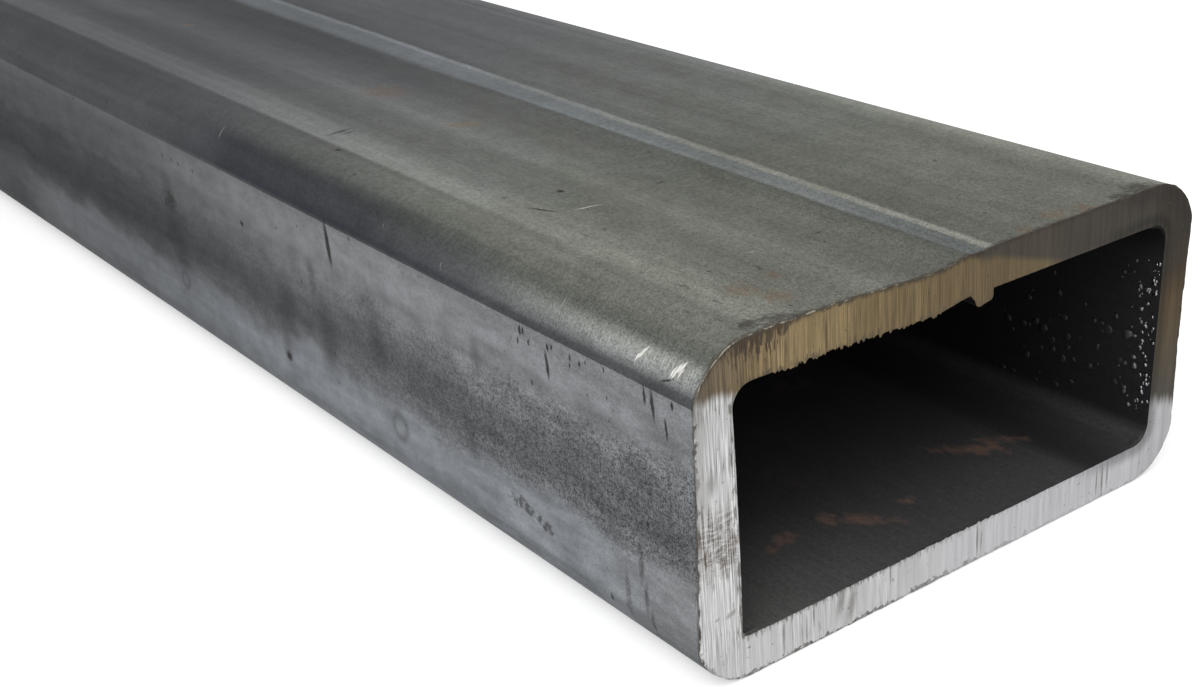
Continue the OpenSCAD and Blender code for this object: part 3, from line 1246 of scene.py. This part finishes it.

# %% [markdown]
# Small specks are too many to place by hand. A cell pattern puts one possible speck in each cell and keeps
# only the cells whose chance number is high. More are kept under the crease, where the tube knocks against
# others. At the very edge of the cut the skin is brown and torn, and a thin line of painted shade lies there
# too.

# %% Specks and the skin's edge
bump_depth = 0.05 * MM
cells = kit.node("ShaderNodeTexVoronoi", {"Vector": kit.stretched(shaken, (2.6, 2.2, 1), 10), "Scale": 1.0})
chance = kit.node("ShaderNodeSeparateColor", {0: cells.outputs["Color"]}).outputs[0]
under_crease = kit.times(kit.fade(folded, 80, 84), kit.fade(folded, crease_mm + 0.2, crease_mm - 0.3))
luck = kit.plus(chance, kit.times(under_crease, 0.12))
speck_size = kit.fade(luck, 0.78, 1.05, 0, 0.2)
speck_mask = kit.fade(kit.maths("SUBTRACT", cells.outputs["Distance"], speck_size), 0.02, -0.07)
colour = kit.mix(kit.times(speck_mask, 0.55), colour, tint(58, 56, 53))
# Brown torn edge of the skin, with a thin line of painted shade along the cut.
torn_reach = kit.fade(kit.noise(kit.stretched(strip, (1.6, 1.2, 1), 12), 3, 0.6), 0.35, 0.75, 0.1, 0.9)
torn = kit.fade(kit.maths("SUBTRACT", from_end, torn_reach), 0.35, -0.15)
colour = kit.mix(kit.times(torn, 0.6), colour, tint(74, 67, 58))
rough = kit.plus(0.5, kit.times(grain_swing, 0.07), kit.times(satin_and_highlight, -0.14))
bump = kit.node("ShaderNodeBump", {"Height": grain_noise, "Strength": 0.2, "Distance": bump_depth})
kit.surface({
    "Base Color": colour, "Metallic": 0.9, "Specular Tint": (0.45, 0.45, 0.45, 1), "Roughness": rough,
    "Normal": bump.outputs[0],
})
print("skin finish has", len(kit.tree.nodes), "nodes")

# %% [markdown]
# ## The sawn face
# A fresh saw cut is bright. Here the upper part of the cut, down to a slanting line, is painted tan as a
# reflection of a tan wall, and the rest is bare and painted nearly white as a reflection of a white table.
# Both are drawn through with upright lines from the saw's teeth, in patches that are rougher and smoother.
# The lines fade towards the far side, where the saw ran more quietly. They lean as the grooves of the mesh
# do. Light on the grooves alone would be too even, so the colour carries the lines as well.

# %% Saw lines
sawn_finish = Finish("sawn_face")
kit = sawn_finish
place = kit.in_mm()
place_parts = kit.node("ShaderNodeSeparateXYZ", {0: place})
x_mm, z_mm = place_parts.outputs[0], place_parts.outputs[2]
edge_map = kit.node("ShaderNodeSeparateXYZ", {0: kit.node("ShaderNodeUVMap", uv_map="Strip").outputs[0]})
edge_round, edge_mm = edge_map.outputs[0], edge_map.outputs[1]
leaning = kit.plus(x_mm, kit.times(z_mm, saw_lean))
upright = kit.node("ShaderNodeCombineXYZ", {0: leaning, 1: z_mm}).outputs[0]
fine_line = kit.noise(kit.stretched(upright, (0.2, 10, 1)), 3, 0.65)
broad_line = kit.noise(kit.stretched(upright, (1.0, 18, 1), 2), 2, 0.6)
patch = kit.noise(kit.stretched(upright, (4.5, 8, 1), 3), 2)
quiet = kit.times(
    kit.fade(x_mm, -44, -40, 1.5, 1), kit.fade(x_mm, -40, 20, 1, 0.3), kit.fade(z_mm, 9, 5, 1, 0.6),
    kit.fade(patch, 0.32, 0.66, 0.55, 1.2),
)
fine_swing = kit.times(kit.fade(fine_line, 0.25, 0.75, -1, 1), quiet, 0.46)
broad_swing = kit.sway(broad_line)
dark_line = kit.times(
    kit.fade(kit.noise(kit.stretched(upright, (0.4, 5, 1), 4), 2), 0.58, 0.7), kit.fade(patch, 0.4, 0.6),
)
print("saw lines lean by", saw_lean, "of their height")

# %% [markdown]
# The painted tan reflection ends at a slanting line with a jagged edge that follows the saw's grooves. A
# spot's height above that line says how much of the tan is painted on it.

# %% The painted reflection's edge
tan_reflection_level = 27.75
tan_reflection_slope = 0.339
jag = kit.noise(kit.stretched(upright, (0.5, 40, 1), 6), 2)
jag_reach = kit.fade(x_mm, -44, -38, 1.5, 3.2)
jag_shift = kit.times(kit.plus(jag, -0.5), jag_reach)
above_line = kit.plus(
    z_mm, -tan_reflection_level, kit.times(x_mm, tan_reflection_slope), jag_shift, kit.fade(x_mm, -45.5, -49, 0, 1.3),
)
# Painted reflection: tan above the slanting line, near white below it.
tan_reflection = kit.fade(above_line, kit.fade(x_mm, 0, 44, -0.9, -0.8), kit.fade(x_mm, 0, 44, 0.9, 2.0))
tan_reflection_lines = kit.fade(x_mm, -45, -38, 0.55, 1.4)
fine_tone = kit.plus(1, kit.times(fine_swing, kit.fade(tan_reflection, 0, 1, 0.9, tan_reflection_lines)))
broad_tone = kit.plus(1, kit.times(broad_swing, kit.fade(tan_reflection, 0, 1, 0.1, 0.13)))
lines = kit.times(fine_tone, broad_tone)
print("the film ends", tan_reflection_level, "mm up in the middle of the tube")

# %% [markdown]
# The painted tan goes from light to dark brown across the top wall and down the far side, and it is dark
# under the outer edge on the right. A painted shade with a slanting edge darkens the outer part of the top
# wall, more towards the right. The bare metal below is painted as a near white reflection, nearly one tone, a
# little darker on the far side.

# %% Colours of the painted reflections
def colours(value, stops, start, end):
    """Colours that follow a value, by stops of (value, red, green, blue as seen on a screen)."""
    share = kit.node("ShaderNodeMapRange", {0: value, 1: start, 2: end}).outputs[0]
    made = kit.node("ShaderNodeValToRGB", {0: share})
    while len(made.color_ramp.elements) < len(stops):
        made.color_ramp.elements.new(0.5)
    for element, (spot, *colour) in zip(made.color_ramp.elements, stops):
        element.position = (spot - start) / (end - start)
        element.color = tint(*colour)
    return made.outputs[0]


tan_reflection_top = colours(x_mm, [
    (-48, 102, 92, 76), (-41, 119, 103, 77), (-34, 137, 119, 87), (-22, 123, 107, 77), (-12, 113, 97, 69),
    (3, 103, 88, 64), (16, 105, 91, 65), (22, 67, 62, 54), (45, 57, 52, 45),
], -50, 50)
tan_reflection_right = colours(z_mm, [
    (14, 78, 73, 66), (22, 84, 74, 57), (30, 84, 70, 48), (35, 60, 51, 38), (41, 52, 46, 38),
], 0, 50)
tan_reflection_tone = kit.mix(kit.fade(x_mm, 40, 44), tan_reflection_top, tan_reflection_right)
# Painted shade on the top wall, with a slanting edge.
shade_line = kit.plus(edge_mm, kit.times(x_mm, -0.31), -0.2)
shaded = kit.times(kit.fade(shade_line, 0.8, -0.6), kit.fade(x_mm, 44, 38))
tan_reflection_tone = kit.mix(kit.times(shaded, 0.9), tan_reflection_tone, tint(65, 61, 54))
bare_left = colours(z_mm, [
    (4, 196, 196, 196), (12, 209, 209, 209), (28, 200, 200, 200), (42, 186, 187, 186),
], 0, 50)
bare_base = kit.mix(kit.fade(x_mm, -40, 30), tint(197, 197, 197), tint(194, 194, 197))
bare_tone = kit.mix(kit.fade(x_mm, -44, -40), bare_left, bare_base)
bare_tone = kit.mix(kit.fade(x_mm, 38, 46), bare_tone, tint(179, 179, 181))
face = kit.mix(tan_reflection, bare_tone, tan_reflection_tone)
face = kit.shade(face, lines)
face = kit.mix(kit.times(dark_line, quiet, 0.55), face, tint(84, 74, 60))
print("film and bare metal")

# %% [markdown]
# The edges of the cut are dirtier than its middle. A dark smear lies on the painted tan by the near corner,
# chips of scale sit along the near side and under the base, and the inner edge is dark and notched. Each is a
# fade from the outer or inner edge, and its reach is broken by noise. Painted shade also darkens the far side
# of the cut towards its inner edge.

# %% Edges of the cut
blotch = kit.noise(kit.stretched(place, (1.6, 1.6, 1.6), 3), 3, 0.6)
fleck = kit.noise(kit.stretched(place, (0.6, 0.6, 0.6), 5), 2)
brush = kit.noise(kit.stretched(upright, (0.5, 3, 1), 8), 3, 0.6)
by_corner = kit.times(kit.fade(x_mm, -46, -42), kit.fade(x_mm, -32, -38))
smear_reach = kit.times(kit.plus(0.35, kit.times(by_corner, 2.3)), kit.fade(brush, 0.3, 0.7, 0.1, 1.5))
smear = kit.times(
    kit.fade(kit.maths("SUBTRACT", edge_mm, smear_reach), 0.6, -0.4), kit.fade(above_line, 0, 3),
)
face = kit.mix(kit.times(smear, 0.82), face, tint(54, 46, 40))
by_far_corner = kit.times(kit.fade(x_mm, 26, 38), kit.fade(z_mm, 38, 43), kit.fade(edge_mm, 4.2, 0.8))
face = kit.mix(kit.times(by_far_corner, kit.fade(blotch, 0.36, 0.6, 0.4, 1), 0.62), face, tint(40, 36, 33))
# Painted shade: the far side of the cut darkens towards the inner edge.
inner_shade = kit.times(kit.fade(edge_mm, 3.2, 6.0), kit.fade(x_mm, 22, 38))
face = kit.shade(face, kit.fade(inner_shade, 0, 1, 1, 0.55))
under_base = kit.fade(z_mm, 3, 1)
chip_reach = kit.plus(
    kit.fade(blotch, 0.42, 0.7, 0.0, 0.7), kit.times(under_base, kit.fade(fleck, 0.45, 0.75, 0.1, 0.7)),
)
chip = kit.fade(kit.maths("SUBTRACT", edge_mm, chip_reach), 0.15, -0.2)
chip_share = kit.times(kit.fade(x_mm, -20, 25, 0.92, 0.25), kit.fade(broad_line, 0.35, 0.6, 0.4, 1))
face = kit.mix(kit.times(chip, chip_share), face, tint(74, 67, 58))
to_inner = kit.maths("SUBTRACT", wall / MM, edge_mm)
notch = kit.fade(kit.maths("SUBTRACT", to_inner, kit.fade(brush, 0.4, 0.75, 0, 1.2)), 0.3, -0.4)
face = kit.mix(kit.times(notch, kit.fade(x_mm, -30, 20, 0.72, 0.25)), face, tint(78, 71, 62))
print("smear, chips and notches along the edges")

# %% [markdown]
# A painted highlight on the thin burr catches the light on the corner and breaks up along the top. On the
# near wall a dirty hand or rag left a brown smear, and small pits lie all over the cut.

# %% Burr, smear and pits
arc_share = kit.times(kit.fade(edge_round, 87, 89), kit.fade(edge_round, 103, 99))
rim_breaks = kit.noise(kit.stretched(place, (1.5, 1.5, 1.5), 9), 4, 0.7)
top_share = kit.times(kit.fade(edge_round, 98, 102), kit.fade(edge_round, 150, 112, 0.1, 0.8))
arc_share = kit.times(arc_share, kit.fade(rim_breaks, 0.44, 0.58, 0.2, 1))
top_share = kit.times(top_share, kit.fade(rim_breaks, 0.53, 0.64))
# Painted highlight along the burr of the outer edge.
rim_highlight = kit.times(kit.fade(edge_mm, 0.22, 0.05), kit.most(arc_share, top_share))
face = kit.mix(kit.times(rim_highlight, 0.75), face, tint(206, 202, 188))
slanted = kit.stretched(place, (1.7, 1, 0.5), turn=(0, 25, 0))
rag = kit.times(kit.fade(kit.noise(slanted, 3, 0.7), 0.35, 0.54), kit.fade(fine_line, 0.35, 0.62, 1, 0.4))
rag = kit.fade(kit.times(rag, kit.fade(blotch, 0.36, 0.58, 0.4, 1)), 0, 1, 0.2, 1)
smudged = kit.times(rag, kit.fade(z_mm, 16, 20), kit.fade(z_mm, 30, 24), kit.fade(x_mm, -42, -44))
face = kit.mix(kit.times(smudged, 0.95), face, tint(86, 75, 65))
pit = kit.fade(kit.noise(kit.stretched(place, (0.7, 0.7, 0.7), 7), 2, 0.6), 0.67, 0.74)
face = kit.mix(kit.times(pit, 0.6), face, tint(76, 70, 62))
print("burr, smear and pits")

# %% [markdown]
# The last marks have places of their own: scrapes where the cut was set down or struck another tube, and
# three chips out of the near edge.

# %% Scuffs and chips
flat_cut = kit.node("ShaderNodeCombineXYZ", {0: x_mm, 1: z_mm}).outputs[0]
scuffs = kit.most(
    kit.times(kit.strokes(flat_cut, (1.3, 4.6), -12, [(-24.2, 4.6, 1.0), (-22.2, 3.2, 1.1)], 1.7), 0.75),
    kit.strokes(flat_cut, (0.35, 4.5), 2, [
        (3.9, 3.6, 1.1), (4.8, 2.8, 0.8), (-35, 3.6, 1.2), (31.6, 3.2, 1.0), (33.0, 2.8, 1.2),
        (34.2, 3.6, 0.8), (-29.4, 4.8, 0.8), (-14.5, 5.0, 0.6),
    ], 1.5),
    kit.times(kit.strokes(flat_cut, (1.8, 22), 0, [(-49.2, 33, 1.0)], 1.6), 0.45),
    kit.times(kit.strokes(flat_cut, (2.4, 6), 0, [(-49.5, 41.5, 1.0), (-47.4, 31.4, 0.5)], 1.6), 0.7),
    kit.times(kit.strokes(flat_cut, (1.7, 0.8), 20, [(-44.4, 11.0, 1.0), (-46.7, 11.1, 0.5)], 1.0), 0.7),
)
face = kit.mix(kit.times(scuffs, kit.fade(brush, 0.3, 0.5, 0.4, 1), 0.75), face, tint(100, 94, 86))
edge_chips = kit.strokes(flat_cut, (0.9, 2.4), 0, [
    (-50, 13.4, 1.0), (-50, 10.0, 1.2), (-49.3, 4.9, 0.8),
], 0.9)
face = kit.mix(kit.times(edge_chips, kit.fade(fleck, 0.3, 0.5)), face, tint(62, 58, 52))
saw_rough = kit.plus(0.45, kit.times(tan_reflection, 0.1))
saw_bump = kit.node("ShaderNodeBump", {"Height": fine_line, "Strength": 0.25, "Distance": bump_depth})
kit.surface({
    "Base Color": face, "Metallic": 0.6, "Specular Tint": (0.6, 0.6, 0.6, 1), "Roughness": saw_rough,
    "Normal": saw_bump.outputs[0],
})
print("sawn finish has", len(kit.tree.nodes), "nodes")

# %% [markdown]
# ## The bore's finish
# No hand reaches the bore, and little light. Its steel is dull and dark, and its shade is painted into the
# colour on top of that: nearly black, blackest under the top wall, greyer on its floor by the mouth, where
# light comes in, and dark again along the foot of the far wall. One plain black would do from afar, but the
# mouth is in plain sight. So the tones follow the place on the tube, by a few fades.

# %% Bore finish
bore_finish = Finish("bore_skin")
kit = bore_finish
bore_place = kit.in_mm()
bore_parts = kit.node("ShaderNodeSeparateXYZ", {0: bore_place})
bore_x, bore_z = bore_parts.outputs[0], bore_parts.outputs[2]
to_mouth = kit.maths("SUBTRACT", length / 2 / MM, kit.maths("ABSOLUTE", bore_parts.outputs[1]))
# Painted light: the floor is lighter by the mouth, most on the near side.
far_side = kit.fade(bore_x, -38, 0)
mouth_tone = kit.mix(far_side, tint(84, 84, 83), tint(66, 66, 67))
floor_tone = kit.mix(kit.fade(to_mouth, 30, 4), tint(54, 54, 56), mouth_tone)
# Painted shade: the floor darkens along the foot of the far wall.
trough = kit.times(kit.fade(bore_x, 26.5, 31), kit.fade(bore_x, 42, 33, 0.3, 1))
floor_tone = kit.mix(trough, floor_tone, tint(43, 43, 45))
# Painted light and shade: the walls are a little lighter by the mouth and blackest under the top wall.
wall_tone = kit.mix(kit.fade(to_mouth, 40, 8), tint(26, 26, 28), tint(32, 32, 33))
wall_tone = kit.mix(kit.fade(bore_z, 36, 41), wall_tone, tint(17, 17, 18))
on_floor = kit.fade(bore_z, 9.5, 7)
dull = kit.mix(on_floor, wall_tone, floor_tone)
bore_streak = kit.swing(kit.noise(kit.stretched(bore_place, (0.8, 9, 0.8), 2), 3, 0.6), 0.12)
bore_grain = kit.swing(kit.noise(kit.stretched(bore_place, (0.45, 0.8, 0.45), 3), 2, 0.6), 0.2)
dull = kit.shade(dull, kit.times(bore_streak, bore_grain))
print("dull walls, a grey floor and a black ceiling")

# %% [markdown]
# Water stood on the floor of the bore near the mouth and left a few flaky spots and runs of rust, and faint
# ones further in.

# %% Rust in the bore
wet = [(-20.5, -484.6, 4.6), (-24.3, -485.4, 3.2), (-12, -484.5, 4.4), (1, -488.5, 3.0)]
wet_runs = [(-8.0, -488, 3.8), (21.0, -483.5, 4.6), (27.0, -484.5, 3.4)]
flaky = kit.noise(kit.stretched(bore_place, (1.7, 2.6, 1.7), 4), 4, 0.65)
flat_place = kit.node("ShaderNodeVectorMath", {0: bore_place, 1: (1, 1, 0)}, operation="MULTIPLY").outputs[0]
wet_mask = kit.most(
    kit.strokes(flat_place, (1, 1), 0, wet, 1.6), kit.strokes(flat_place, (1, 3), 50, wet_runs, 1.5),
)
bore_rust = kit.fade(kit.plus(wet_mask, kit.times(kit.plus(flaky, -0.5), 2.6)), 0.4, 1.3)
stray = kit.fade(kit.noise(kit.stretched(bore_place, (22, 30, 22), 6), 2), 0.58, 0.72)
stray = kit.times(stray, kit.fade(flaky, 0.4, 0.6), kit.fade(bore_x, 32, 24), 0.5)
dull = kit.mix(kit.times(kit.most(bore_rust, stray), on_floor, 0.6), dull, tint(122, 96, 83))
kit.surface({"Base Color": dull, "Metallic": 0.0, "Roughness": 0.6, "Specular IOR Level": 0.2})
print("bore finish has", len(kit.tree.nodes), "nodes")

# %% [markdown]
# ## The spatter's finish
# The drops are bright, shiny steel by the mouth, and further in they are dull and as black as the bore's
# painted shade. They could share the bore's finish, but then none would glint. So one fade by depth turns the
# colour, the roughness and the metal over together.

# %% Spatter finish
spatter_finish = Finish("spatter")
kit = spatter_finish
drop_place = kit.node("ShaderNodeSeparateXYZ", {0: kit.node("ShaderNodeTexCoord").outputs["Object"]})
drop_depth = kit.maths("ADD", drop_place.outputs[1], length / 2)
by_mouth = kit.fade(drop_depth, 6 * MM, 1.5 * MM)
# Painted shade: the deeper drops are as dark as the shaded bore.
black = kit.mix(kit.fade(drop_depth, 8 * MM, 24 * MM), tint(38, 38, 40), tint(29, 29, 31))
kit.surface({
    "Base Color": kit.mix(by_mouth, black, tint(138, 138, 140)),
    "Roughness": kit.fade(by_mouth, 0, 1, 0.55, 0.3),
    "Metallic": by_mouth,
})
for finish in (skin_finish, sawn_finish, bore_finish, spatter_finish):
    mesh.materials.append(finish.material)
print("materials:", [m.name for m in mesh.materials])

# %% [markdown]
# ## The floor
# The tube lies on a pale floor. White paint alone would need so much light that the steel would wash out. So
# part of the floor's white is its own glow, which only the camera and glossy rays see, and part is plain
# paint that takes the tube's shadow.

# %% Floor
floor_size = 8.0
floor_mesh = bpy.data.meshes.new("floor")
reach = floor_size / 2
floor_z = -0.2 * MM
floor_mesh.from_pydata(
    [(-reach, -reach, floor_z), (reach, -reach, floor_z), (reach, reach, floor_z), (-reach, reach, floor_z)],
    [], [(0, 1, 2, 3)],
)
floor = bpy.data.objects.new("floor", floor_mesh)
bpy.context.scene.collection.objects.link(floor)
print("a floor of", floor_size, "m")

# %% [markdown]
# A light path node tells what kind of ray meets the floor, so the glow can be for the eye alone and light
# nothing.

# %% Floor paint
glow_seen = 0.44
glow_mirrored = 0.3
kit = Finish("pale_floor")
kit.surface({"Base Color": (0.8, 0.8, 0.8, 1), "Roughness": 1.0, "Specular IOR Level": 0.0})
rays = kit.node("ShaderNodeLightPath")
mirrored = kit.most(rays.outputs["Is Glossy Ray"], rays.outputs["Is Transmission Ray"])
seen = kit.most(kit.times(rays.outputs["Is Camera Ray"], glow_seen), kit.times(mirrored, glow_mirrored))
glow = kit.node("ShaderNodeEmission", {"Strength": seen})
both_parts = kit.node("ShaderNodeAddShader", {0: kit.shader.outputs[0], 1: glow.outputs[0]})
kit.set(kit.tree.nodes["Material Output"].inputs[0], both_parts.outputs[0])
floor_mesh.materials.append(kit.material)
print("the floor's paint glows by", glow_seen, "to the camera")

# %% [markdown]
# ## Light
# Soft light comes from all sides, from a sky that is white to the camera and in mirrors and a little darker
# as a lamp. Several lamps could do the same, but each would leave its own streak on the steel. One wide lamp
# at the front left adds a soft gleam on the corner and lights the sawn face.

# %% Sky and lamp
sky_light = 0.7
world = bpy.data.worlds.new("studio")
bpy.context.scene.world = world
world.use_nodes = True
sky = world.node_tree.nodes["Background"]
sky.inputs["Color"].default_value = (1, 1, 1, 1)
sky_nodes = world.node_tree.nodes
sky_links = world.node_tree.links
world_rays = sky_nodes.new("ShaderNodeLightPath")
seen_sky = world_rays.outputs["Is Camera Ray"]
for ray in ("Is Glossy Ray", "Is Transmission Ray"):
    either = sky_nodes.new("ShaderNodeMath")
    either.operation = "MAXIMUM"
    sky_links.new(seen_sky, either.inputs[0])
    sky_links.new(world_rays.outputs[ray], either.inputs[1])
    seen_sky = either.outputs[0]
sky_level = sky_nodes.new("ShaderNodeMapRange")
sky_level.inputs[3].default_value = sky_light
sky_level.inputs[4].default_value = 1.0
sky_links.new(seen_sky, sky_level.inputs[0])
sky_links.new(sky_level.outputs[0], sky.inputs["Strength"])

lamp_aim = Vector((0, -0.35, 0))
lamp_data = bpy.data.lights.new("softbox", "AREA")
lamp_data.shape = "RECTANGLE"
lamp_data.size = 1.2
lamp_data.size_y = 0.9
lamp_data.energy = 12
lamp = bpy.data.objects.new("softbox", lamp_data)
bpy.context.scene.collection.objects.link(lamp)
lamp.location = (-0.9, -1.0, 1.1)
lamp.rotation_mode = "QUATERNION"
lamp.rotation_quaternion = (lamp_aim - lamp.location).to_track_quat("-Z", "Y")
bpy.context.scene.view_settings.view_transform = "Standard"
print("floor, sky and one softbox")
